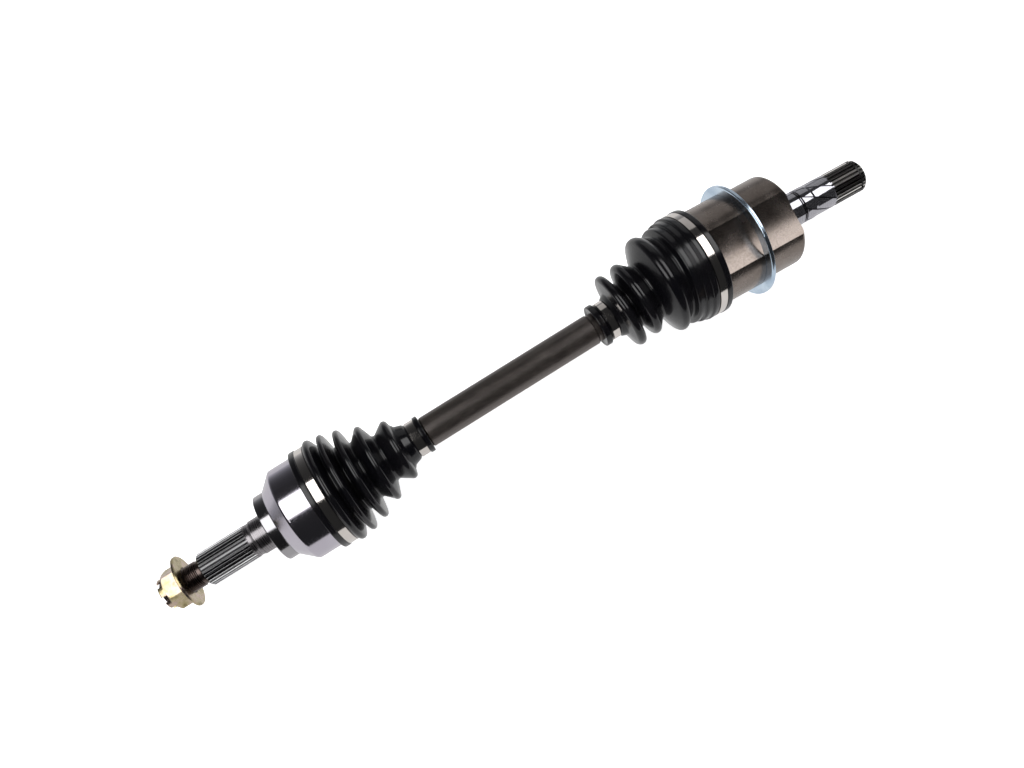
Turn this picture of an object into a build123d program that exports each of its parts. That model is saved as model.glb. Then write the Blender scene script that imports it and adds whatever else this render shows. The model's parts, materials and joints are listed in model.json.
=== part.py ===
from build123d import *
import os
from math import atan, atan2, cos, degrees, radians, sin, sqrt, tan

# A front-wheel-drive half shaft: a ball-type outer joint with its splined wheel stub, a solid bar,
# and a sliding tripod inner joint. +X runs along the bar towards the gearbox, +Z is up, and the
# origin is the middle of the bearing journal on the wheel stub. Millimetres.

# ---- driving dimensions ----
JOURNAL_R = 15.0
JOURNAL_HALF = 7.0
SHOULDER_R = 29.1
SHOULDER_WIDTH = 9.1
BELL_R = 41.0
BELL_FRONT = 28.0
STUB_SPLINE_R = 14.4
STUB_TEETH = 28
STUB_SPLINE_START = -55.1
STUB_SPLINE_END = -11.7
THREAD_R = 10.95
THREAD_PITCH = 1.5
THREAD_START = -90.2
NUT_BACK = -69.5
NUT_FLAT_AZIMUTH = 110.0

OUTER_X = 40.0            # centre of the outer joint
BALL_R = 8.0
BALL_PITCH = 28.0
BALL_COUNT = 6
OUTER_BEND = 45.0         # how far the outer joint bends either way
RACE_R = 25.5
RACE_HALF = 11.0
CAGE_BORE_R = 26.0
CAGE_R = 31.0
CAGE_HALF = 11.5
CAVITY_R = 31.5
TRACK_CLEARANCE = 1.1

BAR_R = 13.4
BAR_SEAT_R = 12.4
BAR_NECK_R = 11.0
BAR_SPLINE_R = 12.2
BAR_TEETH = 26

INNER_X = 446.0           # centre of the inner joint
REST_BEND = 5.1           # the inner housing droops this much as it lies
HOUSING_R = 42.6
HOUSING_REAR_R = 41.1
HOUSING_MOUTH = -39.6
HOUSING_END = 55.5
CUP_DEPTH = 46.1
RECESS_FLOOR = 33.2       # from the axis to the middle of a recess
RECESS_BOW_R = 80.0       # a recess's floor is a shallow hollow of this radius
RECESS_WIDTH = 38.8
RECESS_AZIMUTH = 129.6
ROLLER_R = 15.3
ROLLER_HALF = 5.5
ROLLER_PITCH = 27.0
TRUNNION_R = 8.0
NEEDLE_R = 0.98
NEEDLE_COUNT = 24
STUB_END = 142.6
INNER_JOURNAL_R = 15.0
INNER_SPLINE_R = 14.5
INNER_TEETH = 26
RING_R = 50.6
RING_SEAT = 13.2
RING_WIDTH = 3.2
RING_THICKNESS = 1.4
OIL_GROOVES = 8           # starts of the helical grooves beside the inner journal
OIL_GROOVE_LEAD = 175.0
OIL_GROOVE_R = 0.62
OIL_GROOVE_AZIMUTH = 103.0

BOOT_WALL = 2.4
BAND = 0.75               # thickness of a clamp's band
SLACK = 0.05              # radial room where a boot end sits on another moving body

# (x, radius) of the outer boot's folds, crest and valley by turns
OUTER_FOLDS = [(64.5, 46.2), (70.9, 38.0), (76.1, 44.5), (82.5, 29.0), (88.9, 41.0),
               (95.4, 24.0), (104.6, 34.2), (114.3, 19.5), (124.0, 26.9)]
OUTER_RIM = (49.0, 54.0, 61.3)
OUTER_SMALL_END = (139.3, 147.1, 151.5)

# the same for the inner boot, which widens over the joint
INNER_FOLDS = [(343.0, 34.2), (350.8, 21.8), (358.8, 34.1), (368.6, 26.3), (380.7, 44.3),
               (389.8, 38.2), (400.0, 46.0), (406.8, 47.4)]
INNER_SMALL_END = (318.0, 323.5, 324.9, 332.5)
INNER_RIM = (-35.2, -28.4, -22.8)      # along the housing from the joint's centre
NECK_SLOPE = 0.15                      # how steeply the inner boot leaves the bar's line
NECK_LENGTH = 8.0
FOLD_LEAN = 0.7                        # share of the boot's slope that its folds lean by
BELL_FROM = 392.0                      # from here the boot stands square on the housing's line

# ---- derived values ----
AZIMUTH_OF_EARS = 305.0
LOBE_AZIMUTHS = [RECESS_AZIMUTH + 60 + 120 * n for n in range(3)]
BALL_AZIMUTHS = [360 / BALL_COUNT * n for n in range(BALL_COUNT)]
TRACK_R = BALL_R + TRACK_CLEARANCE
SHOULDER_X = JOURNAL_HALF
CONE_X = SHOULDER_X + SHOULDER_WIDTH
BELL_MOUTH = OUTER_X + 22.0
tilt = radians(REST_BEND)

# A line through the assembly is a plane whose own z runs along it and whose x is +Y, so an azimuth
# in it is measured from +Y towards +Z.
BAR_LINE = Plane(origin=(0, 0, 0), x_dir=(0, 1, 0), z_dir=(1, 0, 0))
OUTER_LINE = BAR_LINE.offset(OUTER_X)
SPIDER_LINE = BAR_LINE.offset(INNER_X)
HOUSING_LINE = Plane(origin=(INNER_X, 0, 0), x_dir=(0, 1, 0), z_dir=(cos(tilt), 0, -sin(tilt)))

os.makedirs("parts", exist_ok=True)


def turned(corners, line=BAR_LINE, mode=Mode.ADD):
    """Add or cut what turning an outline about the line gives. Corners are (along, radius) or
    (along, radius, fillet)."""
    half = Plane(origin=line.origin, x_dir=line.z_dir, z_dir=-line.x_dir)
    points = [(corner[0], corner[1]) for corner in corners]
    fillets = [corner[2] if len(corner) == 3 else 0 for corner in corners]
    with BuildSketch(half) as outline:
        with BuildLine():
            FilletPolyline(*points, radius=fillets, close=True)
        make_face()
    revolve(outline.sketch, axis=Axis(line.origin, line.z_dir), mode=mode)


def polar(radius, azimuth):
    return (radius * cos(radians(azimuth)), radius * sin(radians(azimuth)))


def spline_section(plane, tip, root, teeth):
    """The cross-section of a splined shaft: one flat-topped tooth repeated."""
    step = 360 / teeth
    points = []
    for n in range(teeth):
        points += [polar(root, step * (n - 0.38)), polar(tip, step * (n - 0.17))]
        points += [polar(tip, step * (n + 0.17)), polar(root, step * (n + 0.38))]
    with BuildSketch(plane) as section:
        Polygon(*points, align=None)
    return section.sketch


def spline(start, end, tip, teeth, line=BAR_LINE, mode=Mode.ADD):
    """A splined length between two stations, its teeth 1.25 mm deep."""
    section = spline_section(line.offset(start), tip, tip - 1.25, teeth)
    extrude(section, amount=end - start, mode=mode)


def clamp(start, end, radius, line):
    """A crimped band: a thin ring with one raised ear on its far side."""
    ear_width = 8.0
    ear_height = 3.6
    with BuildPart() as band:
        with BuildSketch(line.offset(start)):
            Circle(radius + BAND)
            with Locations(Rotation(0, 0, AZIMUTH_OF_EARS)):
                with Locations((radius + ear_height / 2, 0)):
                    Rectangle(ear_height, ear_width)
            Circle(radius, mode=Mode.SUBTRACT)
        extrude(amount=end - start)
        with BuildSketch(line.offset(start)):
            with Locations(Rotation(0, 0, AZIMUTH_OF_EARS)):
                with Locations((radius + ear_height / 2 - BAND, 0)):
                    Rectangle(ear_height, ear_width - 2 * BAND)
            Circle(radius - SLACK, mode=Mode.SUBTRACT)
        extrude(amount=end - start, mode=Mode.SUBTRACT)
    return band


def keep(built, name):
    built.part.label = name
    export_step(built.part, f"parts/{name}.step")


# ---- outer housing: threaded and splined stub, journal, shoulder and bell in one forging ----
mouth_relief = 16.2                       # the relief cone's radius at the joint's centre
cavity_bottom = -26.0
cone_meets = (-mouth_relief + sqrt(2 * CAVITY_R**2 - mouth_relief**2)) / 2
mouth = BELL_MOUTH - OUTER_X
thread_root = THREAD_R - 0.85
thread_turns = int((-58.5 - THREAD_START - 1.5) / THREAD_PITCH)
thread_outline = [(THREAD_START, 0), (THREAD_START, THREAD_R - 1.4)]
for turn in range(thread_turns):
    root_x = THREAD_START + 1.5 + turn * THREAD_PITCH
    thread_outline += [(root_x, thread_root), (root_x + 0.6, THREAD_R), (root_x + 0.9, THREAD_R)]
thread_end = THREAD_START + 1.5 + thread_turns * THREAD_PITCH
thread_outline += [(thread_end, thread_root), (STUB_SPLINE_START, thread_root), (STUB_SPLINE_START, 0)]

with BuildPart() as outer_housing:
    turned(thread_outline)
    spline(STUB_SPLINE_START, STUB_SPLINE_END, STUB_SPLINE_R, STUB_TEETH)
    chamfer_x = STUB_SPLINE_START
    turned([(chamfer_x - 1, STUB_SPLINE_R - 1.6), (chamfer_x, STUB_SPLINE_R - 1.6),
            (chamfer_x + 2.2, STUB_SPLINE_R + 0.6), (chamfer_x - 1, STUB_SPLINE_R + 0.6)],
           mode=Mode.SUBTRACT)
    turned([(STUB_SPLINE_END - 3.2, 0), (STUB_SPLINE_END - 3.2, STUB_SPLINE_R - 1.25),
            (STUB_SPLINE_END, JOURNAL_R - 0.9), (STUB_SPLINE_END + 2.6, JOURNAL_R - 0.9, 1.0),
            (-JOURNAL_HALF - 0.6, JOURNAL_R - 0.5), (-JOURNAL_HALF, JOURNAL_R),
            (SHOULDER_X, JOURNAL_R, 0.5), (SHOULDER_X, SHOULDER_R, 0.8), (CONE_X, SHOULDER_R, 0.6),
            (CONE_X + 0.4, SHOULDER_R + 1.2, 0.6), (BELL_FRONT, BELL_R, 3.5),
            (BELL_MOUTH, BELL_R, 0.7), (BELL_MOUTH, 0)])
    with BuildSketch(Plane(origin=OUTER_LINE.origin, x_dir=(1, 0, 0), z_dir=(0, -1, 0))) as cavity:
        with BuildLine():
            bottom = (cavity_bottom, sqrt(CAVITY_R**2 - cavity_bottom**2))
            throat = (cone_meets, cone_meets + mouth_relief)
            Polyline((mouth, mouth + mouth_relief), (mouth, 0), (cavity_bottom, 0), bottom)
            ThreePointArc(bottom, (0, CAVITY_R), throat)
            Line(throat, (mouth, mouth + mouth_relief))
        make_face()
    revolve(cavity.sketch, axis=Axis(OUTER_LINE.origin, (1, 0, 0)), mode=Mode.SUBTRACT)
    for azimuth in BALL_AZIMUTHS:
        outward = Vector(0, *polar(1, azimuth))
        sideways = Vector(0, *polar(1, azimuth + 90))
        blind_end = radians(OUTER_BEND / 2 + 1)
        start = outward * cos(blind_end) + Vector(-1, 0, 0) * sin(blind_end)
        with BuildSketch(Plane(origin=OUTER_LINE.origin, x_dir=start, z_dir=start.cross(sideways))) as track:
            with Locations((BALL_PITCH, 0)):
                Circle(TRACK_R)
        revolve(track.sketch, axis=Axis(OUTER_LINE.origin, -sideways), revolution_arc=85,
                mode=Mode.SUBTRACT)
        with Locations(OUTER_LINE.origin + start * BALL_PITCH):
            Sphere(TRACK_R - 0.05, mode=Mode.SUBTRACT)
keep(outer_housing, "outer_housing")

# ---- hub nut with its crown, and the washer it turns on ----
washer_height = 3.4
hex_height = 12.6
nut_front = NUT_BACK - washer_height
crown_front = nut_front - hex_height - 5.3
bore_r = THREAD_R + 0.08
hex_r = 17.4
slot_width = 5.4
with BuildPart() as nut_washer:
    turned([(NUT_BACK, bore_r + 0.6), (NUT_BACK, 21.7), (NUT_BACK - 0.6, 22.3), (NUT_BACK - 2.2, 22.3, 0.5),
            (nut_front - 0.4, 18.2), (nut_front + 0.02, 18.2), (nut_front + 0.02, bore_r + 0.6)])
keep(nut_washer, "nut_washer")

hex_line = Plane(origin=(nut_front, 0, 0), x_dir=(0, *polar(1, NUT_FLAT_AZIMUTH + 30)), z_dir=(1, 0, 0))
with BuildPart() as hub_nut:
    with BuildSketch(hex_line):
        RegularPolygon(hex_r, 6)
    extrude(amount=-hex_height)
    turned([(nut_front + 1, hex_r - 1.5), (nut_front, hex_r - 0.7), (nut_front - 1, hex_r + 1),
            (nut_front + 1, hex_r + 1)], mode=Mode.SUBTRACT)
    turned([(nut_front - hex_height - 1, hex_r - 3.8), (nut_front - hex_height, hex_r - 2.2),
            (nut_front - hex_height + 3.2, hex_r + 0.9), (nut_front - hex_height - 1, hex_r + 0.9)],
           mode=Mode.SUBTRACT)
    turned([(nut_front - hex_height + 1, bore_r), (nut_front - hex_height + 1, 13.1),
            (nut_front - hex_height, 13.1), (crown_front + 0.6, 12.9, 0.5), (crown_front, 12.3),
            (crown_front, bore_r)])
    turned([(nut_front + 1, 0), (nut_front + 1, bore_r), (crown_front - 1, bore_r), (crown_front - 1, 0)],
           mode=Mode.SUBTRACT)
    with BuildSketch(hex_line.offset(-hex_height + 0.2)):
        for slot in range(3):
            with Locations(Rotation(0, 0, 60 * slot)):
                Rectangle(2 * hex_r, slot_width)
    extrude(amount=-8, mode=Mode.SUBTRACT)
keep(hub_nut, "hub_nut")

# ---- inside the outer joint: race, cage, balls and the clip that holds the race on the bar ----
with BuildPart() as inner_race:
    with Locations(OUTER_LINE.origin):
        Sphere(RACE_R)
    turned([(-RACE_HALF, 0), (-RACE_HALF, RACE_R), (RACE_HALF, RACE_R), (RACE_HALF, 0)], OUTER_LINE,
           Mode.INTERSECT)
    spline(-RACE_HALF - 1, RACE_HALF + 1, BAR_SPLINE_R + 0.05, BAR_TEETH, OUTER_LINE, Mode.SUBTRACT)
    for azimuth in BALL_AZIMUTHS[:3]:
        outward = Vector(0, *polar(1, azimuth))
        sideways = Vector(0, *polar(1, azimuth + 90))
        track_plane = Plane(origin=OUTER_LINE.origin, x_dir=outward, z_dir=outward.cross(sideways))
        with BuildSketch(track_plane) as ring:
            with Locations((BALL_PITCH, 0)):
                Circle(TRACK_R)
        revolve(ring.sketch, axis=Axis(OUTER_LINE.origin, sideways), mode=Mode.SUBTRACT)
keep(inner_race, "inner_race")

with BuildPart() as ball_cage:
    with Locations(OUTER_LINE.origin):
        Sphere(CAGE_R)
        Sphere(CAGE_BORE_R, mode=Mode.SUBTRACT)
    turned([(-CAGE_HALF, 0), (-CAGE_HALF, CAGE_R + 1), (CAGE_HALF, CAGE_R + 1), (CAGE_HALF, 0)],
           OUTER_LINE, Mode.INTERSECT)
    for azimuth in BALL_AZIMUTHS:
        window = Plane(origin=OUTER_LINE.origin, x_dir=(1, 0, 0), z_dir=(0, *polar(1, azimuth)))
        with BuildSketch(window.offset(CAGE_BORE_R - 6)) as opening:
            RectangleRounded(2 * BALL_R + 0.1, 18.4, 2.5)
        extrude(opening.sketch, amount=20, mode=Mode.SUBTRACT)
keep(ball_cage, "ball_cage")

for number, azimuth in enumerate(BALL_AZIMUTHS, 1):
    with BuildPart() as ball:
        with Locations(OUTER_LINE.origin + Vector(0, *polar(BALL_PITCH, azimuth))):
            Sphere(BALL_R)
    keep(ball, f"ball_{number}")

bar_front = OUTER_X - RACE_HALF - 4.0
bar_back = INNER_X + 14.7
clip_grooves = [(OUTER_X - RACE_HALF - 1.8, OUTER_X - RACE_HALF - 0.5), (INNER_X + 10.5, INNER_X + 11.8)]
for name, (start, end) in zip(["race_circlip", "spider_circlip"], clip_grooves):
    with BuildPart() as circlip:
        turned([(start + 0.1, BAR_SPLINE_R - 1.8), (start + 0.1, BAR_SPLINE_R + 1.0),
                (end - 0.1, BAR_SPLINE_R + 1.0), (end - 0.1, BAR_SPLINE_R - 1.8)])
        with BuildSketch(BAR_LINE.offset(start)):
            with Locations((0, BAR_SPLINE_R)):
                Rectangle(3.0, 6.0)
        extrude(amount=end - start, mode=Mode.SUBTRACT)
    keep(circlip, name)

# ---- the bar: splined at both ends, waisted inside the boots, with a seat for each boot's neck ----
race_back = OUTER_X + RACE_HALF
spider_front = INNER_X - 10.0
with BuildPart() as bar_shaft:
    turned([(race_back + 1, 0), (race_back + 1, BAR_NECK_R), (OUTER_X + 58, BAR_NECK_R),
            (OUTER_SMALL_END[0] - 6, BAR_SEAT_R, 3), (OUTER_SMALL_END[2] + 0.3, BAR_SEAT_R),
            (OUTER_SMALL_END[2] + 1.3, BAR_R, 0.4), (INNER_SMALL_END[0] - 4.4, BAR_R, 0.4),
            (INNER_SMALL_END[0] - 3.2, BAR_SEAT_R), (INNER_SMALL_END[3] + 6, BAR_SEAT_R, 3),
            (INNER_X - 68, BAR_NECK_R), (spider_front - 1.5, BAR_NECK_R), (spider_front - 1.5, 0)])
    spline(bar_front, race_back + 1, BAR_SPLINE_R, BAR_TEETH)
    spline(spider_front - 1.5, bar_back, BAR_SPLINE_R, BAR_TEETH)
    for start, end in clip_grooves:
        turned([(start, BAR_SPLINE_R - 1.8), (start, BAR_SPLINE_R + 1), (end, BAR_SPLINE_R + 1),
                (end, BAR_SPLINE_R - 1.8)], mode=Mode.SUBTRACT)
keep(bar_shaft, "bar_shaft")

# ---- tripod: spider, and on each trunnion a needle set, a spherical roller and a clip ----
trunnion_tip = ROLLER_PITCH + ROLLER_HALF + 2.3
clip_start = ROLLER_PITCH + ROLLER_HALF + 0.6
with BuildPart() as tripod_spider:
    turned([(-10, 0), (-10, 17.2), (-9.2, 18), (9.2, 18), (10, 17.2), (10, 0)], SPIDER_LINE)
    for azimuth in LOBE_AZIMUTHS:
        trunnion = Plane(origin=SPIDER_LINE.origin, x_dir=(1, 0, 0), z_dir=(0, *polar(1, azimuth)))
        turned([(8, 0), (8, 9.6), (ROLLER_PITCH - ROLLER_HALF - 0.3, 9.6, 0.6),
                (ROLLER_PITCH - ROLLER_HALF - 0.3, TRUNNION_R), (clip_start, TRUNNION_R),
                (clip_start, TRUNNION_R - 0.8), (clip_start + 0.9, TRUNNION_R - 0.8),
                (clip_start + 0.9, TRUNNION_R), (trunnion_tip, TRUNNION_R, 0.4), (trunnion_tip, 0)],
               trunnion)
    spline(-11, 11, BAR_SPLINE_R + 0.05, BAR_TEETH, SPIDER_LINE, Mode.SUBTRACT)
keep(tripod_spider, "tripod_spider")

needle_circle = TRUNNION_R + 0.02 + NEEDLE_R
roller_bore = needle_circle + NEEDLE_R + 0.04
for number, azimuth in enumerate(LOBE_AZIMUTHS, 1):
    outward = Vector(0, *polar(1, azimuth))
    trunnion = Plane(origin=SPIDER_LINE.origin, x_dir=(1, 0, 0), z_dir=outward)
    roller_line = trunnion.offset(ROLLER_PITCH)
    with BuildPart() as roller:
        with Locations(roller_line.origin):
            Sphere(ROLLER_R)
        turned([(-ROLLER_HALF, roller_bore), (-ROLLER_HALF, ROLLER_R), (ROLLER_HALF, ROLLER_R),
                (ROLLER_HALF, roller_bore)], roller_line, Mode.INTERSECT)
    keep(roller, f"roller_{number}")

    with BuildPart() as needles:
        with BuildSketch(roller_line.offset(0.5 - ROLLER_HALF)):
            with PolarLocations(needle_circle, NEEDLE_COUNT):
                Circle(NEEDLE_R)
        extrude(amount=2 * ROLLER_HALF - 1)
    keep(needles, f"needles_{number}")

    with BuildPart() as roller_clip:
        turned([(clip_start + 0.05, TRUNNION_R - 0.75), (clip_start + 0.05, TRUNNION_R + 2.9),
                (clip_start + 0.85, TRUNNION_R + 2.9), (clip_start + 0.85, TRUNNION_R - 0.75)], trunnion)
    keep(roller_clip, f"roller_clip_{number}")

# ---- inner housing: a three-lobed cup with a grooved and splined stub ----
core_r = 29.0
track_top = 37.6
track_r = ROLLER_R + 1.1


def recess_outline(plane):
    """Three shallow recesses between the lobes, each hollow across its floor, as one sketch."""
    with BuildSketch(plane) as recesses:
        for recess in range(3):
            with BuildSketch(mode=Mode.PRIVATE) as hollow:
                with Locations((RECESS_FLOOR + RECESS_BOW_R, 0)):
                    Circle(RECESS_BOW_R)
                with Locations((RECESS_FLOOR + 10, 0)):
                    Rectangle(20, RECESS_WIDTH, mode=Mode.INTERSECT)
            add(hollow.sketch.rotate(Axis.Z, RECESS_AZIMUTH + 120 * recess))
    return recesses.sketch


with BuildPart() as inner_housing:
    turned([(HOUSING_MOUTH, 0), (HOUSING_MOUTH, HOUSING_R - 0.6), (HOUSING_MOUTH + 0.6, HOUSING_R),
            (RING_SEAT - 0.3, HOUSING_R), (RING_SEAT, HOUSING_R - 0.3), (RING_SEAT, HOUSING_REAR_R),
            (HOUSING_END, HOUSING_REAR_R, 4.0), (HOUSING_END, INNER_JOURNAL_R), (HOUSING_END, 0)],
           HOUSING_LINE)
    extrude(recess_outline(HOUSING_LINE.offset(HOUSING_MOUTH - 1)), amount=HOUSING_END - HOUSING_MOUTH + 2,
            mode=Mode.SUBTRACT)
    ring_groove = HOUSING_END + 20.6
    helix_start = ring_groove + 3.2
    spline_start = HOUSING_END + 54.5
    shaft_r = INNER_SPLINE_R + 0.1
    turned([(HOUSING_END - 2, 0), (HOUSING_END - 2, INNER_JOURNAL_R + 1.4),
            (HOUSING_END, INNER_JOURNAL_R + 1.4), (HOUSING_END + 1.4, INNER_JOURNAL_R),
            (ring_groove - 0.3, INNER_JOURNAL_R, 0.2), (ring_groove, INNER_JOURNAL_R - 1.1),
            (ring_groove + 0.9, INNER_JOURNAL_R - 1.1),
            (ring_groove + 1.1, INNER_JOURNAL_R - 0.2), (ring_groove + 1.5, INNER_JOURNAL_R - 0.2),
            (ring_groove + 1.7, INNER_JOURNAL_R - 1.1), (ring_groove + 2.6, INNER_JOURNAL_R - 1.1),
            (ring_groove + 2.9, INNER_JOURNAL_R - 0.1, 0.2), (ring_groove + 12, INNER_JOURNAL_R - 0.1),
            (ring_groove + 14, shaft_r), (spline_start - 1.2, shaft_r, 0.5), (spline_start, shaft_r - 0.9),
            (spline_start, 0)], HOUSING_LINE)
    spline(spline_start - 1, STUB_END, INNER_SPLINE_R, INNER_TEETH, HOUSING_LINE)
    turned([(STUB_END + 1, INNER_SPLINE_R - 3), (STUB_END, INNER_SPLINE_R - 2.2),
            (STUB_END - 3, INNER_SPLINE_R + 0.8), (STUB_END + 1, INNER_SPLINE_R + 0.8)], HOUSING_LINE,
           Mode.SUBTRACT)
    clip_x = STUB_END - 6.5
    turned([(clip_x, INNER_SPLINE_R - 1.9), (clip_x, INNER_SPLINE_R + 1), (clip_x + 1.8, INNER_SPLINE_R + 1),
            (clip_x + 1.8, INNER_SPLINE_R - 1.9)], HOUSING_LINE, Mode.SUBTRACT)
    turned([(HOUSING_MOUTH - 1, 0), (HOUSING_MOUTH - 1, 31.9), (HOUSING_MOUTH + 6, core_r),
            (CUP_DEPTH, core_r, 3), (CUP_DEPTH, 0)], HOUSING_LINE, Mode.SUBTRACT)
    for azimuth in LOBE_AZIMUTHS:
        with BuildSketch(HOUSING_LINE.offset(HOUSING_MOUTH - 1)) as lane:
            with Locations(Rotation(0, 0, azimuth)):
                with Locations((ROLLER_PITCH, 0)):
                    Circle(track_r)
                with Locations((track_top / 2, 0)):
                    Rectangle(track_top, 2 * track_r, mode=Mode.INTERSECT)
        extrude(lane.sketch, amount=CUP_DEPTH - HOUSING_MOUTH + 1, mode=Mode.SUBTRACT)
    groove_line = HOUSING_LINE.offset(helix_start - 0.6)
    with BuildLine(mode=Mode.PRIVATE) as groove_path:
        Helix(OIL_GROOVE_LEAD, spline_start - helix_start, shaft_r + 0.1, center=groove_line.origin,
              direction=groove_line.z_dir)
    groove_start = groove_path.line @ 0
    with BuildSketch(Plane(origin=groove_start, z_dir=groove_path.line % 0)) as groove_section:
        Circle(OIL_GROOVE_R)
    cutter = sweep(groove_section.sketch, path=groove_path.line, is_frenet=True, mode=Mode.PRIVATE)
    across = groove_line.to_local_coords(groove_start)
    first_turn = OIL_GROOVE_AZIMUTH - degrees(atan2(across.Y, across.X))
    for start in range(OIL_GROOVES):
        turn = first_turn + 360 / OIL_GROOVES * start
        add(cutter.rotate(Axis(groove_line.origin, groove_line.z_dir), turn), mode=Mode.SUBTRACT)
keep(inner_housing, "inner_housing")

with BuildPart() as stub_circlip:
    turned([(clip_x + 0.3, INNER_SPLINE_R - 1.9), (clip_x + 0.3, INNER_SPLINE_R - 0.2),
            (clip_x + 1.5, INNER_SPLINE_R - 0.2), (clip_x + 1.5, INNER_SPLINE_R - 1.9)], HOUSING_LINE)
    with BuildSketch(HOUSING_LINE.offset(clip_x)):
        with Locations((-INNER_SPLINE_R, 0)):
            Rectangle(6.0, 3.0)
    extrude(amount=2, mode=Mode.SUBTRACT)
keep(stub_circlip, "stub_circlip")

bush_r = HOUSING_R + 0.95
bush_end = INNER_RIM[2] - 0.6
with BuildPart() as housing_bush:
    extrude(recess_outline(HOUSING_LINE.offset(HOUSING_MOUTH)), amount=bush_end - HOUSING_MOUTH)
    turned([(HOUSING_MOUTH - 1, 0), (HOUSING_MOUTH - 1, bush_r), (bush_end + 1, bush_r), (bush_end + 1, 0)],
           HOUSING_LINE, Mode.INTERSECT)
    turned([(HOUSING_MOUTH, HOUSING_R), (HOUSING_MOUTH, bush_r), (bush_end, bush_r), (bush_end, HOUSING_R)],
           HOUSING_LINE)
keep(housing_bush, "housing_bush")

with BuildPart() as dust_ring:
    lip = RING_R - RING_THICKNESS
    web = RING_SEAT + RING_THICKNESS
    turned([(RING_SEAT, HOUSING_REAR_R), (RING_SEAT, RING_R, 1.5), (RING_SEAT + RING_WIDTH, RING_R, 0.3),
            (RING_SEAT + RING_WIDTH, lip, 0.3), (web, lip, 0.5), (web, HOUSING_REAR_R)], HOUSING_LINE)
keep(dust_ring, "dust_ring")

# ---- boots: hollow folded sleeves, the inner one bent with its joint ----
rim_start, outer_band_start, outer_band_end = OUTER_RIM
neck_band_start, neck_band_end, neck_tip = OUTER_SMALL_END
crest_half = 1.4
band_seat_r = 43.9 - BAND
neck_seat_r = 15.5 - BAND
outside = [(rim_start, BELL_R), (rim_start, 44.5, 0.6), (outer_band_start, 44.5, 0.3),
           (outer_band_start, band_seat_r), (outer_band_end, band_seat_r), (outer_band_end, 43.9)]
for fold, (x, radius) in enumerate(OUTER_FOLDS):
    if fold % 2 == 0:
        outside += [(x - crest_half, radius, 0.8), (x + crest_half, radius, 0.8)]
    else:
        outside.append((x, radius, 0.6))
outside += [(133.7, 16.9, 2), (neck_band_start, neck_seat_r), (neck_band_end, neck_seat_r),
            (neck_band_end, 16.4, 0.5), (neck_tip, 16.4, 0.5), (neck_tip, BAR_SEAT_R + SLACK)]
inside = [(136.5, BAR_SEAT_R + SLACK), (133.7, 16.9 - BOOT_WALL)]
for x, radius in reversed(OUTER_FOLDS[1:]):
    inside.append((x, radius - BOOT_WALL))
inside += [(OUTER_FOLDS[0][0] + 0.3, 43.6), (BELL_MOUTH + 0.3, 42.0), (BELL_MOUTH + 0.3, BELL_R)]
with BuildPart() as outer_boot:
    turned(outside + inside)
keep(outer_boot, "outer_boot")

tip, groove, band_start, band_end = INNER_SMALL_END
clamp_start, clamp_end, rim_end = INNER_RIM
blend_start = band_end
blend_length = BELL_FROM - blend_start
droop = tan(tilt)
bell_rise = (INNER_X - BELL_FROM) * droop


def boot_plane(x):
    """The cross-section of the bent inner boot whose middle is at x: it leaves the bar's line in
    the neck and stands on the housing's line from the bell on."""
    t = min(max((x - blend_start) / blend_length, 0), 1)
    neck = (t**3 - 2 * t**2 + t) * blend_length * NECK_SLOPE
    rise = neck + (3 * t**2 - 2 * t**3) * bell_rise + (t**2 - t**3) * blend_length * droop
    slope = (3 * t**2 - 4 * t + 1) * NECK_SLOPE
    slope += (6 * t - 6 * t**2) * bell_rise / blend_length + (2 * t - 3 * t**2) * droop
    settled = min(max((x - blend_start) / NECK_LENGTH, 0), 1)
    lean = -atan(slope) * settled * (FOLD_LEAN + (1 - FOLD_LEAN) * t)
    if x > BELL_FROM:
        rise = (INNER_X - x) * droop
    return Plane(origin=(x, 0, rise), x_dir=(0, 1, 0), z_dir=(cos(lean), 0, -sin(lean)))


flange_r = 47.5
inner_band_seat = 47.0 - BAND
neck_bore = BAR_SEAT_R + SLACK
boot_sections = [(boot_plane(tip), 18.8, neck_bore), (boot_plane(groove), 18.8, neck_bore),
                 (boot_plane(band_start), 16.4, neck_bore), (boot_plane(band_end), 16.4, 14.0)]
for x, radius in INNER_FOLDS:
    boot_sections.append((boot_plane(x), radius, radius - BOOT_WALL))
for along, radius in [(clamp_start - 1.0, 46.9), (clamp_start, inner_band_seat),
                      (clamp_end, inner_band_seat), (clamp_end + 0.4, flange_r), (rim_end, flange_r)]:
    boot_sections.append((HOUSING_LINE.offset(along), radius, bush_r + SLACK))
with BuildPart() as inner_boot:
    for plane, radius, _ in boot_sections:
        with BuildSketch(plane):
            Circle(radius)
    loft(ruled=True)
    for plane, _, bore in boot_sections:
        with BuildSketch(plane):
            Circle(bore)
    loft(ruled=True, mode=Mode.SUBTRACT)
keep(inner_boot, "inner_boot")

# ---- clamps ----
clamps = {
    "outer_large_clamp": (outer_band_start + 0.2, outer_band_end - 0.2, band_seat_r, BAR_LINE),
    "outer_small_clamp": (neck_band_start + 0.2, neck_band_end - 0.2, neck_seat_r + SLACK, BAR_LINE),
    "inner_small_clamp": (band_start + 0.8, band_end - 0.8, 16.4 + SLACK, BAR_LINE),
    "inner_large_clamp": (clamp_start + 0.2, clamp_end - 0.2, inner_band_seat + SLACK, HOUSING_LINE),
}
for name, (start, end, radius, line) in clamps.items():
    keep(clamp(start, end, radius, line), name)
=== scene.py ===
import json
from math import acos, atan, atan2, cos, hypot, pi, radians, sin, tan

import bpy
from mathutils import Matrix, Vector


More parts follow.
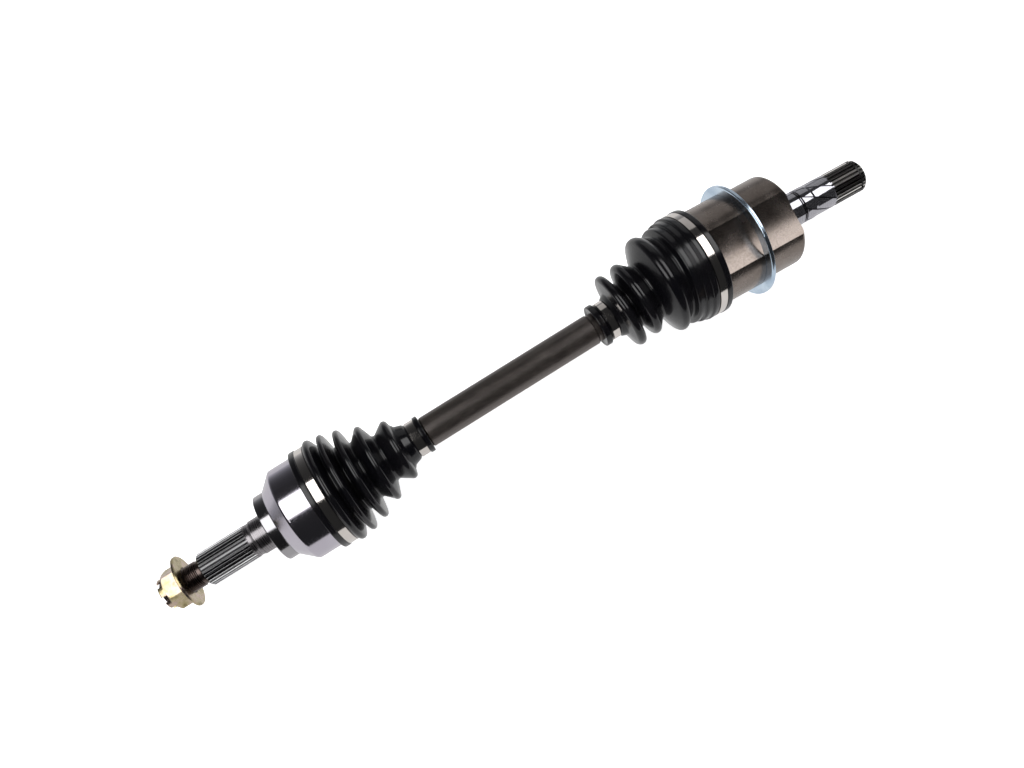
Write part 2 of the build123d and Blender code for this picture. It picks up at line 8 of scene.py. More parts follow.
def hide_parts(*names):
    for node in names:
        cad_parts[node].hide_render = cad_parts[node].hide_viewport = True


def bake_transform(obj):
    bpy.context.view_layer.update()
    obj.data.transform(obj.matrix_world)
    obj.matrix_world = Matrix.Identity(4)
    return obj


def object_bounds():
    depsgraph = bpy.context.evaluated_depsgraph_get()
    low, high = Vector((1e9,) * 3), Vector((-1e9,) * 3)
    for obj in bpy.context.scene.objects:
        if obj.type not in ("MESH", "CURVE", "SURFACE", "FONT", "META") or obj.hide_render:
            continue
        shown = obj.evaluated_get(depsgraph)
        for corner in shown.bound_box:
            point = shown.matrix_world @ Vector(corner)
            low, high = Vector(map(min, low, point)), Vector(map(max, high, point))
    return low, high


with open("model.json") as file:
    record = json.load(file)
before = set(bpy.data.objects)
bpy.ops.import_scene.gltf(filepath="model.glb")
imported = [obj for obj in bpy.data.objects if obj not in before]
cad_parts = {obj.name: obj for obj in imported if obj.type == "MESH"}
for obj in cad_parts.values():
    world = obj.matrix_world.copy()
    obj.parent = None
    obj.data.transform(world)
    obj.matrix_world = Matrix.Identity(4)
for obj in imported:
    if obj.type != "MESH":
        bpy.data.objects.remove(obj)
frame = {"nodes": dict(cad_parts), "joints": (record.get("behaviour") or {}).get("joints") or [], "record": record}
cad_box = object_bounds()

# The looks of a front-wheel-drive half shaft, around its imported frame. Metres; +X runs along the bar
# from the hub end to the gearbox end, +Z is up, and the origin is on the hub journal.

MM = 0.001
JOINTS = {joint["name"]: joint for joint in frame["joints"]}
PIVOT = Vector(JOINTS["inner_bend"]["pos_m"])
HOUSING_AXIS = Vector(JOINTS["inner_plunge"]["axis"]).normalized()
TILT = atan2(-HOUSING_AXIS.z, HOUSING_AXIS.x)

# Where the finish changes: stations along the hub end from the origin, stations along the gearbox
# end from the joint's middle; where the painted shade and highlight change: radii of the splines' roots and lands
# and of the groove's edge (mm)
HUB_SPLINE_FROM = -55.3
HUB_JOURNAL_FROM = -13
HUB_SHOULDER_FROM = 6.9
HUB_BELL_FROM = 16.3
HUB_ROOT = 13.85
HUB_LAND = 14.36
GEARBOX_STUB_FROM = 55.7
GEARBOX_SPLINE_FROM = 110.0
OIL_GROOVE = 14.35
GEARBOX_ROOT = 13.95
GEARBOX_LAND = 14.46

# How sharply it changes there (mm)
SOFT = 0.4
CLEAR = 0.2
SHARP = 0.05


# ---------------------------------------------------------------- shader helpers

def math_node(tree, operation, *values):
    """One Math node; a value is a number or another node's output."""
    made = tree.nodes.new("ShaderNodeMath")
    made.operation = operation
    for number, value in enumerate(values):
        if isinstance(value, (int, float)):
            made.inputs[number].default_value = value
        else:
            tree.links.new(value, made.inputs[number])
    return made.outputs[0]


class Shader:
    """A node material with one Principled surface, built by small steps."""

    def __init__(self, name):
        self.material = bpy.data.materials.new(name)
        self.material.use_nodes = True
        self.tree = self.material.node_tree
        self.surface = self.tree.nodes["Principled BSDF"]
        self.position = self.node("ShaderNodeTexCoord").outputs["Object"]

    def node(self, kind, **settings):
        made = self.tree.nodes.new(kind)
        for key, value in settings.items():
            setattr(made, key, value)
        return made

    def link(self, source, target):
        self.tree.links.new(source, target)

    def fixed(self, **values):
        """Constants on the surface's own sockets; underscores stand for spaces."""
        for key, value in values.items():
            self.surface.inputs[key.replace("_", " ")].default_value = value

    def math(self, operation, *values):
        return math_node(self.tree, operation, *values)

    def against(self, operation, axis, origin):
        """The position, measured from origin, multiplied by a line's direction."""
        shifted = self.node("ShaderNodeVectorMath", operation="SUBTRACT")
        self.link(self.position, shifted.inputs[0])
        shifted.inputs[1].default_value = origin
        product = self.node("ShaderNodeVectorMath", operation=operation)
        self.link(shifted.outputs[0], product.inputs[0])
        product.inputs[1].default_value = axis
        return product

    def along(self, axis, origin=(0, 0, 0)):
        """Distance along a line through the object, in metres."""
        return self.against("DOT_PRODUCT", axis, origin).outputs["Value"]

    def radius(self, axis, origin=(0, 0, 0)):
        """Distance from a line through the object, in metres."""
        length = self.node("ShaderNodeVectorMath", operation="LENGTH")
        self.link(self.against("CROSS_PRODUCT", axis, origin).outputs[0], length.inputs[0])
        return length.outputs["Value"]

    def noise(self, scale, detail=3.0, roughness=0.5, stretch=(1, 1, 1)):
        mapping = self.node("ShaderNodeMapping")
        mapping.inputs["Scale"].default_value = stretch
        self.link(self.position, mapping.inputs["Vector"])
        made = self.node("ShaderNodeTexNoise")
        made.inputs["Scale"].default_value = scale
        made.inputs["Detail"].default_value = detail
        made.inputs["Roughness"].default_value = roughness
        self.link(mapping.outputs[0], made.inputs["Vector"])
        return made.outputs["Fac"]

    def ramp(self, value, stops):
        """stops: (position, colour) where a colour is a grey or (r, g, b)."""
        made = self.node("ShaderNodeValToRGB")
        elements = made.color_ramp.elements
        while len(elements) < len(stops):
            elements.new(0.5)
        for element, (place, colour) in zip(elements, stops):
            element.position = place
            rgb = (colour,) * 3 if isinstance(colour, (int, float)) else colour
            element.color = (*rgb, 1)
        self.link(value, made.inputs["Fac"])
        return made.outputs["Color"]

    def mix(self, factor, first, second):
        """first where the factor is 0 and second where it is 1; each a grey, (r, g, b) or an output."""
        made = self.node("ShaderNodeMix", data_type="RGBA")
        sockets = made.inputs["Factor"], made.inputs[6], made.inputs[7]
        for socket, value in zip(sockets, (factor, first, second)):
            if isinstance(value, (int, float)):
                socket.default_value = value if socket.name == "Factor" else (value, value, value, 1)
            elif isinstance(value, tuple):
                socket.default_value = (*value, 1)
            else:
                self.link(value, socket)
        return made.outputs[2]

    def step(self, value, edge, width=0.6):
        """0 below the edge and 1 above it, across a narrow ramp; edge and width are in millimetres."""
        made = self.node("ShaderNodeMapRange", interpolation_type="SMOOTHSTEP")
        made.inputs["From Min"].default_value = (edge - width / 2) * MM
        made.inputs["From Max"].default_value = (edge + width / 2) * MM
        self.link(value, made.inputs["Value"])
        return made.outputs["Result"]

    def bump(self, height, distance, strength=1.0, under=None):
        made = self.node("ShaderNodeBump")
        made.inputs["Strength"].default_value = strength
        made.inputs["Distance"].default_value = distance
        self.link(height, made.inputs["Height"])
        if under is not None:
            self.link(under, made.inputs["Normal"])
        return made.outputs["Normal"]

    def finish(self, colour, roughness, normal, metallic=None):
        self.link(colour, self.surface.inputs["Base Color"])
        self.link(roughness, self.surface.inputs["Roughness"])
        self.link(normal, self.surface.inputs["Normal"])
        if metallic is not None:
            self.link(metallic, self.surface.inputs["Metallic"])
        return self.material


def turning_marks(shader, station, pitch, depth):
    """Fine rings left by a lathe: a noise that varies only along the axle, and its bump."""
    rings = shader.node("ShaderNodeTexNoise", noise_dimensions="1D")
    rings.inputs["Scale"].default_value = 1 / pitch
    rings.inputs["Detail"].default_value = 4
    shader.link(station, rings.inputs["W"])
    return rings.outputs["Fac"], shader.bump(rings.outputs["Fac"], depth)


# ---------------------------------------------------------------- materials

def boot_rubber():
    """Moulded black rubber with a faint brown bloom."""
    shader = Shader("boot_rubber")
    shader.fixed(IOR=1.5, Specular_IOR_Level=0.45)
    bloom = shader.noise(38, detail=5, roughness=0.6)
    grain = shader.noise(2600, detail=2)
    colour = shader.ramp(bloom, [(0.3, (0.003, 0.003, 0.0045)), (0.6, (0.0065, 0.006, 0.0075)),
                                 (0.8, (0.020, 0.015, 0.012))])
    roughness = shader.ramp(shader.noise(70, detail=4), [(0.3, 0.13), (0.7, 0.22)])
    soft = shader.bump(bloom, 0.0004, 0.5)
    return shader.finish(colour, roughness, shader.bump(grain, 0.00003, 0.35, soft))


def polished_steel():
    """The hub end: a bright machined bell, a darker shoulder and journal, a spline with painted shade at its roots
    and painted highlight on its flanks, and a dark thread.
    """
    shader = Shader("bell_steel")
    station = shader.along((1, 0, 0))
    radius = shader.radius((1, 0, 0))
    marks, normal = turning_marks(shader, station, 0.00035, 0.0000022)
    cloud = shader.noise(22, detail=4)

    on_spline = shader.step(station, HUB_SPLINE_FROM)
    on_journal = shader.step(station, HUB_JOURNAL_FROM)
    on_shoulder = shader.step(station, HUB_SHOULDER_FROM)
    on_bell = shader.step(station, HUB_BELL_FROM)
    above_root = shader.step(radius, HUB_ROOT, SOFT)
    on_land = shader.step(radius, HUB_LAND, SHARP)

    bell = shader.ramp(cloud, [(0.3, (0.47, 0.44, 0.50)), (0.7, (0.57, 0.54, 0.60))])
    shoulder = shader.ramp(cloud, [(0.3, (0.29, 0.28, 0.29)), (0.7, (0.39, 0.38, 0.395))])
    journal = shader.ramp(marks, [(0.3, (0.18, 0.170, 0.176)), (0.7, (0.29, 0.275, 0.284))])
    thread = shader.ramp(marks, [(0.3, (0.060, 0.044, 0.039)), (0.7, (0.175, 0.138, 0.126))])
    land = shader.ramp(cloud, [(0.3, (0.15, 0.15, 0.152)), (0.7, (0.25, 0.25, 0.252))])
    # Painted shade and highlight: below the edge over the root the spline is painted near black, for the shade
    # between the teeth; above it the flanks are painted pale, for highlights on the tooth edges.
    spline = shader.mix(above_root, (0.030, 0.029, 0.031), (0.62, 0.62, 0.63))
    spline = shader.mix(on_land, spline, land)
    colour = shader.mix(on_spline, thread, spline)
    colour = shader.mix(on_journal, colour, journal)
    colour = shader.mix(on_shoulder, colour, shoulder)
    colour = shader.mix(on_bell, colour, bell)

    smudged = shader.math("ADD", marks, shader.math("MULTIPLY", cloud, 0.6))
    fine = shader.ramp(smudged, [(0.4, 0.08), (1.1, 0.17)])
    coarse = shader.ramp(marks, [(0.3, 0.20), (0.7, 0.32)])
    roughness = shader.mix(on_shoulder, coarse, fine)

    # Painted highlight: the spline's upper flanks are made less metallic, so their pale paint shows as bright
    # lines from every side, standing in for highlights on the tooth edges.
    flank = shader.math("MULTIPLY", above_root, shader.math("SUBTRACT", 1, on_land))
    toothed = shader.math("MULTIPLY", on_spline, shader.math("SUBTRACT", 1, on_journal))
    painted_flank_highlight = shader.math("MULTIPLY", flank, toothed)
    metallic = shader.math("SUBTRACT", 1, shader.math("MULTIPLY", 0.7, painted_flank_highlight))
    return shader.finish(colour, roughness, normal, metallic)


def bar_phosphate():
    """The bar: a dark, oiled phosphate, mottled and faintly streaked along its length."""
    shader = Shader("bar_phosphate")
    shader.fixed(Metallic=0.15, IOR=1.7, Specular_Tint=(1, 0.90, 0.86, 1), Specular_IOR_Level=0.95)
    mottle = shader.noise(210, detail=6, roughness=0.75, stretch=(0.6, 1, 1))
    blotch = shader.noise(34, detail=3, stretch=(0.4, 1, 1))
    streaks = shader.noise(1100, detail=3, stretch=(0.05, 1, 1))
    colour = shader.ramp(mottle, [(0.30, (0.011, 0.0088, 0.0075)), (0.52, (0.030, 0.0245, 0.021)),
                                  (0.75, (0.072, 0.060, 0.052))])
    patches = shader.ramp(blotch, [(0.3, (0.012, 0.010, 0.009)), (0.7, (0.044, 0.037, 0.032))])
    colour = shader.mix(0.35, colour, patches)
    roughness = shader.ramp(mottle, [(0.3, 0.28), (0.75, 0.42)])
    return shader.finish(colour, roughness, shader.bump(shader.math("ADD", mottle, streaks), 0.0001, 0.7))


def housing_phosphate():
    """The gearbox end: a brown-grey cup, a glossy ground journal with painted shade in its oil grooves, and a
    black spline with painted shade at its roots and painted highlight on its flanks.
    """
    shader = Shader("housing_phosphate")
    shader.fixed(Metallic=0.95)
    station = shader.along(tuple(HOUSING_AXIS), tuple(PIVOT))
    radius = shader.radius(tuple(HOUSING_AXIS), tuple(PIVOT))
    marks, rings = turning_marks(shader, station, 0.0008, 0.000004)
    cloud = shader.noise(45, detail=5, roughness=0.6)
    speck = shader.noise(700, detail=3)
    on_stub = shader.step(station, GEARBOX_STUB_FROM)
    on_spline = shader.step(station, GEARBOX_SPLINE_FROM)

    cup = shader.ramp(cloud, [(0.28, (0.150, 0.122, 0.106)), (0.72, (0.285, 0.244, 0.220))])
    cup = shader.mix(0.15, cup, shader.ramp(speck, [(0.35, (0.11, 0.09, 0.08)), (0.65, (0.38, 0.33, 0.30))]))
    stub = shader.ramp(marks, [(0.3, (0.37, 0.365, 0.395)), (0.7, (0.49, 0.485, 0.52))])
    # Painted shade: below the groove's edge the oil grooves are painted near black, for the shade in them.
    stub = shader.mix(shader.step(radius, OIL_GROOVE, CLEAR), (0.03, 0.03, 0.034), stub)
    # Painted shade and highlight: the spline is painted near black at its roots and lower flanks, for the shade
    # between the teeth, and pale on its upper flanks, for highlights on the tooth edges; its lands are dark.
    above_root = shader.step(radius, GEARBOX_ROOT, SOFT)
    land = shader.ramp(speck, [(0.3, (0.055, 0.052, 0.050)), (0.7, (0.11, 0.105, 0.10))])
    painted_spline = shader.mix(above_root, (0.014, 0.013, 0.012), (0.34, 0.33, 0.32))
    painted_spline = shader.mix(shader.step(radius, GEARBOX_LAND, SHARP), painted_spline, land)
    colour = shader.mix(on_spline, shader.mix(on_stub, cup, stub), painted_spline)

    rough_cup = shader.ramp(cloud, [(0.3, 0.20), (0.7, 0.31)])
    roughness = shader.mix(on_spline, shader.mix(on_stub, rough_cup, 0.09), 0.28)
    return shader.finish(colour, roughness, shader.bump(speck, 0.000004, 0.5, rings))


def plated(name, pale, tint, rough=(0.14, 0.26)):
    """A zinc-plated or stainless sheet part, with faint clouds and a fine grain."""
    shader = Shader(name)
    shader.fixed(Metallic=1.0)
    cloud = shader.noise(60, detail=4)
    fine = shader.noise(1500, detail=3)
    colour = shader.mix(shader.ramp(cloud, [(0.35, 0.0), (0.65, 1.0)]), pale, tint)
    roughness = shader.ramp(cloud, [(0.3, rough[0]), (0.7, rough[1])])
    return shader.finish(colour, roughness, shader.bump(fine, 0.000008, 0.5))


def yellow_zinc():
    """Yellow passivate: gold with olive, pink and pale patches."""
    shader = Shader("nut_zinc")
    shader.fixed(Metallic=1.0)
    patches = shader.noise(95, detail=3, roughness=0.55)
    colour = shader.ramp(patches, [(0.28, (0.15, 0.10, 0.06)), (0.40, (0.40, 0.34, 0.18)),
                                   (0.50, (0.52, 0.43, 0.29)), (0.60, (0.58, 0.44, 0.38)),
                                   (0.74, (0.32, 0.29, 0.15))])
    roughness = shader.ramp(shader.noise(300, detail=3), [(0.3, 0.20), (0.7, 0.34)])
    return shader.finish(colour, roughness, shader.bump(shader.noise(1400, detail=3), 0.000012, 0.6))


def plain_steel(name, low, high, rough):
    """The joints' inner pieces: one clouded grey between low and high."""
    shader = Shader(name)
    shader.fixed(Metallic=1.0)
    cloud = shader.noise(90, detail=4)
    colour = shader.ramp(cloud, [(0.3, low), (0.7, high)])
    roughness = shader.ramp(cloud, [(0.3, rough), (0.7, rough + 0.12)])
    return shader.finish(colour, roughness, shader.bump(shader.noise(1800, detail=2), 0.000006, 0.5))


def moulded_plastic():
    """The adapter bush: matt black."""
    shader = Shader("bush_plastic")
    cloud = shader.noise(150, detail=4)
    colour = shader.ramp(cloud, [(0.3, (0.02, 0.02, 0.02)), (0.7, (0.05, 0.05, 0.05))])
    roughness = shader.ramp(cloud, [(0.3, 0.45), (0.7, 0.6)])
    return shader.finish(colour, roughness, shader.bump(shader.noise(1500), 0.00002, 0.5))


MATERIALS = {
    "boot_rubber": boot_rubber(),
    "bell_steel": polished_steel(),
    "bar_phosphate": bar_phosphate(),
    "housing_phosphate": housing_phosphate(),
    "ring_zinc": plated("ring_zinc", (0.66, 0.78, 0.90), (0.50, 0.62, 0.76)),
    "band_steel": plated("band_steel", (0.74, 0.69, 0.65), (0.64, 0.60, 0.57), (0.07, 0.13)),
    "nut_zinc": yellow_zinc(),
    "bearing_steel": plain_steel("bearing_steel", (0.52, 0.53, 0.55), (0.68, 0.69, 0.71), 0.10),
    "cage_steel": plain_steel("cage_steel", (0.22, 0.22, 0.23), (0.34, 0.34, 0.35), 0.26),
    "spring_steel": plain_steel("spring_steel", (0.03, 0.03, 0.032), (0.07, 0.07, 0.07), 0.35),
    "bush_plastic": moulded_plastic(),
}
SLOTS = {part["node"]: part["material_slot"] for part in frame["record"]["subparts"]}
for node, piece in frame["nodes"].items():
    for slot in piece.material_slots:
        slot.material = MATERIALS[SLOTS[node]]


# ---------------------------------------------------------------- boots

# Outlines are in millimetres, and a direction on one is an angle from the +X side.
WALL = 1.6
LEFT, UP, RIGHT = pi, pi / 2, 0.0
ARC_STEPS = 7                         # straight pieces to a quarter turn of an outline
SIDES = 200                           # straight pieces round a boot

BAR_SEAT = 12.48                      # radius of both small ends, on the bar
OUTER_SEAT = 41.05                    # radius of the outer boot's large end, on the bell
INNER_SEAT = 43.65                    # radius of the inner boot's large end, on the bush
OUTER_START, OUTER_END = 49.0, 151.5
OUTER_HOLLOW = (62.35, 136.0)         # where the outer boot leaves the bell and meets the bar
INNER_START, INNER_END = 318.0, 423.0
INNER_HOLLOW = (333.0, 409.5)         # where the inner boot leaves the bar and meets the bush
SEAM = 389.6                          # the inner boot's two halves meet in this valley
SEAM_VALLEY = (SEAM, 38.4, -1.8)

OUTER_BOOT = [
    (OUTER_START + 0.9, 44.5, 0.9), (53.2, 44.5, 0.7), (54.6, 43.1, -0.4), (61.0, 43.1, -0.4),
    (61.9, 44.1, 0.5), (65.2, 46.4, 3.0), (72.0, 37.0, -1.1), (76.4, 44.6, 2.3), (82.3, 29.2, -1.5),
    (89.3, 41.0, 2.6), (95.6, 26.0, -1.9), (105.5, 34.3, 2.9), (114.2, 20.6, -2.4), (125.4, 27.0, 3.4),
    (132.7, 18.0, -3.0), (136.6, 16.4, 1.4), (139.2, 14.75, -0.5), (147.0, 14.75, -0.4),
    (147.9, 16.4, 0.6), (150.8, 16.4, 0.7),
]
INNER_SMALL_HALF = [
    (318.8, 18.8, 0.8), (322.4, 18.8, 1.0), (325.0, 16.4, -0.5), (332.0, 16.4, -0.5), (333.8, 18.4, 0.6),
    (336.2, 20.0, -1.2), (343.0, 34.2, 4.0), (350.8, 21.8, -1.7), (358.8, 34.1, 4.3), (368.6, 26.3, -2.0),
    (380.7, 44.3, 4.4), SEAM_VALLEY,
]
INNER_LARGE_HALF = [
    SEAM_VALLEY, (394.4, 43.9, 2.2), (397.6, 43.7, -2.4), (400.8, 45.8, 2.2), (403.6, 45.7, -2.4),
    (406.8, 47.2, 2.4), (409.4, 47.0, 1.2), (411.2, 46.25, -0.3), (417.5, 46.25, -0.3), (418.5, 47.5, 0.7),
    (421.8, 47.5, 1.2),
]
OUTER_FOLDS = (62, 128)               # the folds lie between these stations
INNER_FOLDS = (335, 408)


def folds(circles, span):
    """The circles of the folds alone, which the boot's inside follows too."""
    return [circle for circle in circles if span[0] < circle[0] < span[1]]


def belt(circles, first_normal, last_normal, shift=0.0):
    """A smooth outline that runs over convex circles and under concave ones, as (x, radius) points.
    A circle is (x, radius of its outermost or innermost point, rounding); a crest has a positive
    rounding and a valley a negative one. shift moves the outline inwards."""
    centres = [(x, r - rounding) for x, r, rounding in circles]
    reaches = [rounding - shift for _, _, rounding in circles]
    normals = [first_normal]
    for (xa, ra), (xb, rb), a, b in zip(centres, centres[1:], reaches, reaches[1:]):
        dx, dr = xb - xa, rb - ra
        normals.append(atan2(dr, dx) + acos(max(-1, min(1, (a - b) / hypot(dx, dr)))))
    normals.append(last_normal)
    points = []
    for number, ((x, r), reach) in enumerate(zip(centres, reaches)):
        start, end = normals[number], normals[number + 1]
        steps = max(2, int(abs(end - start) / (pi / 2) * ARC_STEPS) + 1)
        for part in range(steps + 1):
            normal = start + (end - start) * part / steps
            points.append((x + reach * cos(normal), r + reach * sin(normal)))
    return points


def revolved(name, outside, inside, place):
    """A closed sleeve of rubber: both outlines' (x, radius) points are carried round by place(x), which
    gives a centre and the two directions across the sleeve there."""
    outline = outside + list(reversed(inside))
    verts = []
    for x, radius in outline:
        centre, across, up = place(x)
        for side in range(SIDES):
            turn = 2 * pi * side / SIDES
            verts.append((centre + (across * cos(turn) + up * sin(turn)) * radius) * MM)
    rows = len(outline)
    faces = []
    for row in range(rows):
        here = row * SIDES
        after = (row + 1) % rows * SIDES
        for side in range(SIDES):
            beside = (side + 1) % SIDES
            faces.append((here + side, here + beside, after + beside, after + side))
    mesh = bpy.data.meshes.new(name)
    mesh.from_pydata(verts, [], faces)
    mesh.validate()
    mesh.shade_smooth()
    piece = bpy.data.objects.new(name, mesh)
    bpy.context.scene.collection.objects.link(piece)
    mesh.materials.append(MATERIALS["boot_rubber"])
    return piece


def on_bar(x):
    return Vector((x, 0, 0)), Vector((0, 1, 0)), Vector((0, 0, 1))


def outer_boot():
    outside = [(OUTER_START, OUTER_SEAT)] + belt(OUTER_BOOT, LEFT, RIGHT) + [(OUTER_END, BAR_SEAT)]
    inside = belt(folds(OUTER_BOOT, OUTER_FOLDS), UP * 1.5, UP * 0.5, WALL)
    inside = [(OUTER_HOLLOW[0], OUTER_SEAT)] + inside + [(OUTER_HOLLOW[1], BAR_SEAT)]
    piece = revolved("outer_boot_rubber", outside, inside, on_bar)
    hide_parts("outer_boot")
    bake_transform(piece)


BAND_END = 332.5                      # the small clamp's end, where the inner boot leaves the bar's line
SQUARE_FROM = 392.0                   # from here on it stands square on the housing's line
NECK_SLOPE = 0.15                     # how steeply the middle line leaves the bar's
NECK_LEAN = 0.7                       # how far the neck's folds lean over with that line
LEAN_WITHIN = 8                       # the length over which they take up the lean
DROOP = -tan(TILT)


def housing_rise(x):
    """Height of the housing's line over the bar's."""
    return (x - PIVOT.x / MM) * DROOP


def on_bent_line(x):
    """The inner boot's middle line: the bar's at its neck, easing onto the housing's."""
    if x >= SQUARE_FROM:
        return Vector((x, 0, housing_rise(x))), Vector((0, 1, 0)), Vector((sin(TILT), 0, cos(TILT)))
    length = SQUARE_FROM - BAND_END
    end_rise = housing_rise(SQUARE_FROM)
    t = max((x - BAND_END) / length, 0)
    rise = ((t**3 - 2 * t**2 + t) * length * NECK_SLOPE + (3 * t**2 - 2 * t**3) * end_rise
            + (t**3 - t**2) * length * DROOP)
    slope = ((3 * t**2 - 4 * t + 1) * NECK_SLOPE + (6 * t - 6 * t**2) * end_rise / length
             + (3 * t**2 - 2 * t) * DROOP)
    settle = max(0, min((x - BAND_END) / LEAN_WITHIN, 1))
    lean = -atan(slope) * settle * (NECK_LEAN + (1 - NECK_LEAN) * t)
    return Vector((x, 0, rise)), Vector((0, 1, 0)), Vector((sin(lean), 0, cos(lean)))


def inner_boot():
    outside = [(INNER_START, BAR_SEAT)] + belt(INNER_SMALL_HALF, LEFT, UP)
    inside = [(INNER_HOLLOW[0], BAR_SEAT)] + belt(folds(INNER_SMALL_HALF, INNER_FOLDS), UP * 1.5, UP, WALL)
    small = revolved("inner_boot_neck", outside, inside, on_bent_line)
    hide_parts("inner_boot")
    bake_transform(small)

    outside = belt(INNER_LARGE_HALF, UP, RIGHT) + [(INNER_END, INNER_SEAT)]
    inside = belt(folds(INNER_LARGE_HALF, INNER_FOLDS), UP, UP * 0.6, WALL)
    inside += [(INNER_HOLLOW[1], INNER_SEAT)]
    large = revolved("inner_boot_bell", outside, inside, on_bent_line)
    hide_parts("inner_boot")
    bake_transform(large)


outer_boot()
inner_boot()


# ---------------------------------------------------------------- camera, floor and light

VIEW_ELEVATION = radians(55)          # the camera looks down on the bar from the -Y side
TOWARDS_CAMERA = Vector((0, -cos(VIEW_ELEVATION), sin(VIEW_ELEVATION)))
ACROSS = Vector((0, sin(VIEW_ELEVATION), cos(VIEW_ELEVATION)))
CAMERA_DISTANCE = 0.7425              # square to the bar
CAMERA_STATION = 0.1654               # where along the bar the camera stands
AIM_STATION = 0.233                   # where along the bar it looks
AIM_DROP = 0.0034                     # and how far below the bar's line in the picture
ROLL = radians(31.918)                # how steeply the bar climbs across the picture
SENSOR_WIDTH = 36                     # millimetres, as is the lens
LENS = 31.64

FLOOR_REACH = 30
FLOOR_GLOW = 0.97
PAPER_NEAR = (-1.4, -0.15)
PAPER_FAR = (1.9, 2.5)
PAPER_GLOW = 0.8
PAPER_DEPTH = 0.001                   # below the floor
DOME_REACH = 29.0
DOME_SIDES = 64
DOME_ROWS = 12

SOFTBOX_ELEVATION = radians(74.5)     # over the bar, on the camera's side
SOFTBOX_DISTANCE = 1.2
SOFTBOX_SIZE = (1.1, 1.0)
ROOM_TINT = (0.94, 0.96, 1, 1)
ROOM_GLOW = 0.025
BACK_GLOW = 0.6                       # the wall behind the object, at its foot
BACK_FULL_AT = 0.6                    # how far round towards +Y it is at its brightest
BACK_FADE = 4.5                       # how fast it darkens with height


def add_camera():
    data = bpy.data.cameras.new("camera")
    data.sensor_width = SENSOR_WIDTH
    data.lens = LENS
    camera = bpy.data.objects.new("camera", data)
    bpy.context.scene.collection.objects.link(camera)
    place = Vector((CAMERA_STATION, 0, 0)) + TOWARDS_CAMERA * CAMERA_DISTANCE
    aim = Vector((AIM_STATION, 0, 0)) - ACROSS * AIM_DROP
    back = (place - aim).normalized()
    bar = Vector((1, 0, 0))
    bar = (bar - back * bar.dot(back)).normalized()
    square = back.cross(bar)
    right = bar * cos(ROLL) - square * sin(ROLL)
    up = bar * sin(ROLL) + square * cos(ROLL)
    camera.matrix_world = Matrix.Translation(place) @ Matrix((right, up, back)).transposed().to_4x4()
    bpy.context.scene.camera = camera


def staged(name, verts, faces, base, emission):
    """A plain matt surface of the set, with a glow of its own."""
    mesh = bpy.data.meshes.new(name)
    mesh.from_pydata(verts, [], faces)
    sheet = bpy.data.objects.new(name, mesh)
    bpy.context.scene.collection.objects.link(sheet)
    material = bpy.data.materials.new(name)
    material.use_nodes = True
    surface = material.node_tree.nodes["Principled BSDF"]
    surface.inputs["Base Color"].default_value = (base, base, base, 1)
    surface.inputs["Roughness"].default_value = 1.0
    surface.inputs["Emission Color"].default_value = (1, 1, 1, 1)
    surface.inputs["Emission Strength"].default_value = emission
    mesh.materials.append(material)
    return sheet


def flat_sheet(name, low, high, z, base, emission):
    corners = [(low[0], low[1], z), (high[0], low[1], z), (high[0], high[1], z), (low[0], high[1], z)]
    return staged(name, corners, [(0, 1, 2, 3)], base, emission)


def add_floor():
    """A wide white floor, and just under it the paper that shiny metal mirrors in its place: it ends
    shortly in front of the object, so that the metal turns dark towards the viewer's side."""
    lowest = cad_box[0].z
    near, far = (-FLOOR_REACH, -FLOOR_REACH), (FLOOR_REACH, FLOOR_REACH)
    floor = flat_sheet("floor", near, far, lowest, 0.9, FLOOR_GLOW)
    floor.visible_glossy = False
    flat_sheet("paper", PAPER_NEAR, PAPER_FAR, lowest - PAPER_DEPTH, 0.0, PAPER_GLOW)


def add_backdrop():
    """A pale dome far off, for the camera alone."""
    foot = cad_box[0].z
    verts = []
    for row in range(DOME_ROWS):
        elevation = pi / 2 * row / DOME_ROWS
        out = DOME_REACH * cos(elevation)
        up = foot + DOME_REACH * sin(elevation)
        for side in range(DOME_SIDES):
            turn = 2 * pi * side / DOME_SIDES
            verts.append((out * cos(turn), out * sin(turn), up))
    faces = []
    for row in range(DOME_ROWS - 1):
        here = row * DOME_SIDES
        above = here + DOME_SIDES
        for side in range(DOME_SIDES):
            beside = (side + 1) % DOME_SIDES
            faces.append((here + side, here + beside, above + beside, above + side))
    faces.append(tuple(range((DOME_ROWS - 1) * DOME_SIDES, DOME_ROWS * DOME_SIDES)))
    dome = staged("backdrop", verts, faces, 0.0, 1.0)
    dome.visible_diffuse = False
    dome.visible_glossy = False
    dome.visible_transmission = False
    dome.visible_shadow = False


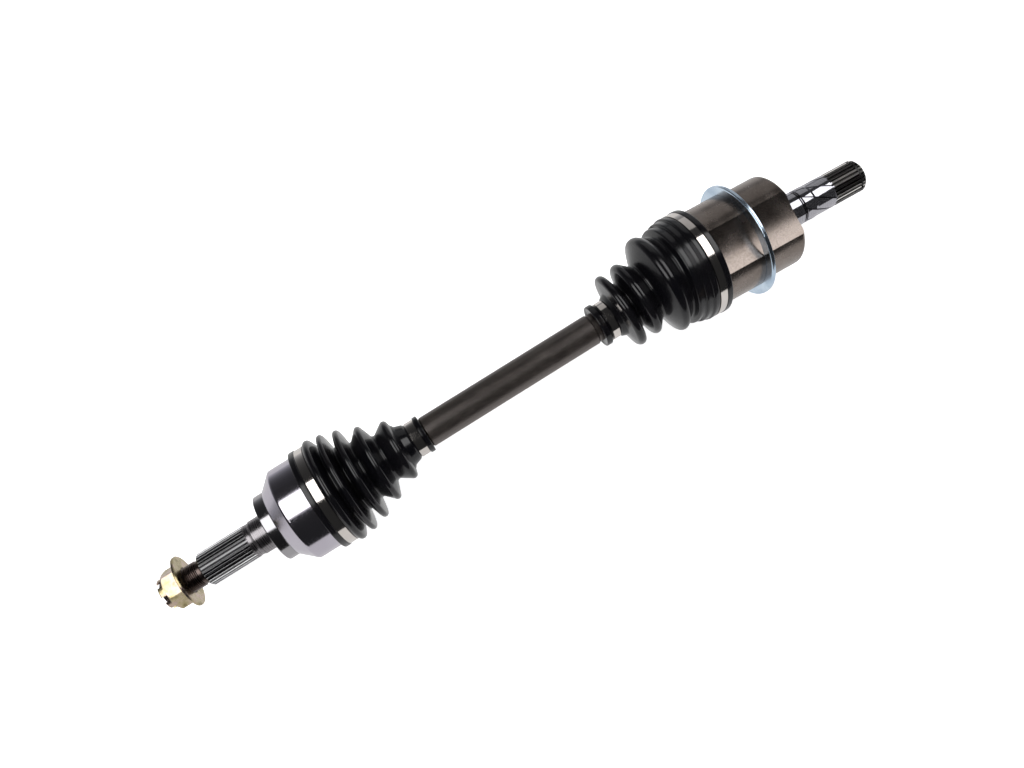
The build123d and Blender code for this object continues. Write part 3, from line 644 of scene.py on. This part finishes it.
def add_softbox(name, centre, size, radiance):
    """A rectangular lamp that faces the bar's line."""
    data = bpy.data.lights.new(name, "AREA")
    data.shape = "RECTANGLE"
    data.size, data.size_y = size
    data.energy = radiance * pi * size[0] * size[1]
    light = bpy.data.objects.new(name, data)
    light.location = centre
    aim = Vector((centre[0], 0, 0)) - Vector(centre)
    light.rotation_euler = aim.to_track_quat("-Z", "Y").to_euler()
    bpy.context.scene.collection.objects.link(light)


def add_room():
    """A dark room with a pale wall behind the object, brightest at its foot."""
    world = bpy.data.worlds.new("studio")
    world.use_nodes = True
    tree = world.node_tree
    direction = tree.nodes.new("ShaderNodeTexCoord").outputs["Generated"]
    parts = tree.nodes.new("ShaderNodeSeparateXYZ")
    tree.links.new(direction, parts.inputs[0])
    behind = tree.nodes.new("ShaderNodeMapRange")
    behind.interpolation_type = "SMOOTHSTEP"
    behind.inputs["From Max"].default_value = BACK_FULL_AT
    tree.links.new(parts.outputs["Y"], behind.inputs["Value"])
    height = math_node(tree, "ABSOLUTE", parts.outputs["Z"])
    fade = math_node(tree, "EXPONENT", math_node(tree, "MULTIPLY", height, -BACK_FADE))
    wall = math_node(tree, "MULTIPLY", fade, behind.outputs["Result"])
    wall = math_node(tree, "MULTIPLY", wall, BACK_GLOW)
    background = tree.nodes["Background"]
    background.inputs["Color"].default_value = ROOM_TINT
    tree.links.new(math_node(tree, "ADD", wall, ROOM_GLOW), background.inputs["Strength"])
    bpy.context.scene.world = world


def add_light():
    y = -cos(SOFTBOX_ELEVATION) * SOFTBOX_DISTANCE
    z = sin(SOFTBOX_ELEVATION) * SOFTBOX_DISTANCE
    add_softbox("softbox_hub", (-0.56, y, z), SOFTBOX_SIZE, 3.1)
    add_softbox("softbox_gearbox", (1.31, y, z), SOFTBOX_SIZE, 3.0)
    add_softbox("fill_gearbox", (1.0, 0.95, 0.75), (1.2, 0.9), 0.35)
    add_room()


add_camera()
add_floor()
add_backdrop()
add_light()
bpy.context.scene.view_settings.view_transform = "Standard"
bpy.context.scene.view_settings.look = "None"
